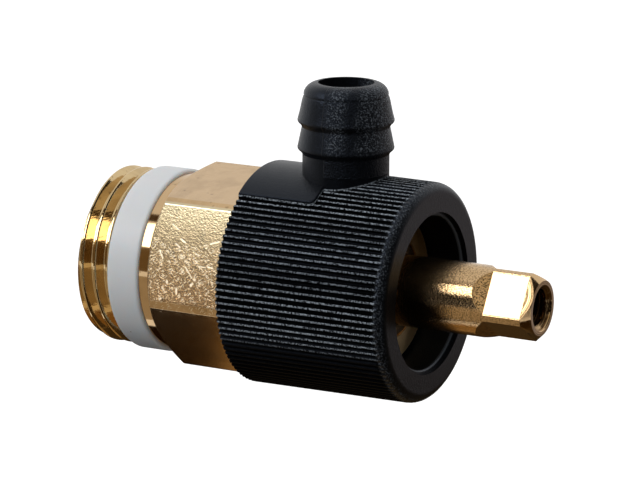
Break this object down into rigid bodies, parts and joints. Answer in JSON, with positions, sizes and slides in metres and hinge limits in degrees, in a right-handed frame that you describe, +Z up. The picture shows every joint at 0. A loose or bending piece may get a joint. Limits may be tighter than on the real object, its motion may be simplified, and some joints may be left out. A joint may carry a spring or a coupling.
{
  "type": "air vent valve",
  "caption": "Brass screw-in radiator air vent valve with a hexagon, a ribbed black swivel hose tail sleeve and a square-ended spindle.",
  "frame": {"origin": "on the valve's axis, at the face of the white seal ring that lands on the socket's rim", "axes": "+X along the valve's axis from the thread to the spindle's tip, +Z up along the hose tail"},
  "size_m": [0.0438, 0.0204, 0.0288],
  "materials": {
    "body_brass": "machined",
    "works_brass": "turned",
    "ring_plastic": "satin",
    "sleeve_plastic": "moulded, glass-filled",
    "seal_rubber": "matte",
    "spring_steel": "drawn wire"
  },
  "bodies": {
    "valve": {"valve_body": "body_brass", "thread_seal_ring": "ring_plastic", "rear_o_ring": "seal_rubber", "front_o_ring": "seal_rubber", "snap_ring": "spring_steel", "gland_bush": "works_brass", "thrust_washer": "works_brass", "spindle_o_ring": "seal_rubber"},
    "sleeve": {"hose_sleeve": "sleeve_plastic"},
    "seal": {"seal_carrier": "works_brass", "seat_seal": "seal_rubber"},
    "spindle": {"spindle": "works_brass"}
  },
  "joints": [
    {"name": "sleeve_swivel", "type": "hinge", "parent": "valve", "child": "sleeve", "pos_m": [0.0209, 0, 0], "axis": [1, 0, 0], "continuous": true},
    {"name": "seal_slide", "type": "slide", "parent": "valve", "child": "seal", "axis": [1, 0, 0], "range_m": [0, 0.0015]},
    {"name": "spindle_turn", "type": "hinge", "parent": "seal", "child": "spindle", "pos_m": [0.025, 0, 0], "axis": [1, 0, 0], "range_deg": [0, 540]}
  ],
  "couplings": [
    {"joint": "spindle_turn", "follows": "seal_slide", "rad_per_m": 6283.2}
  ]
}
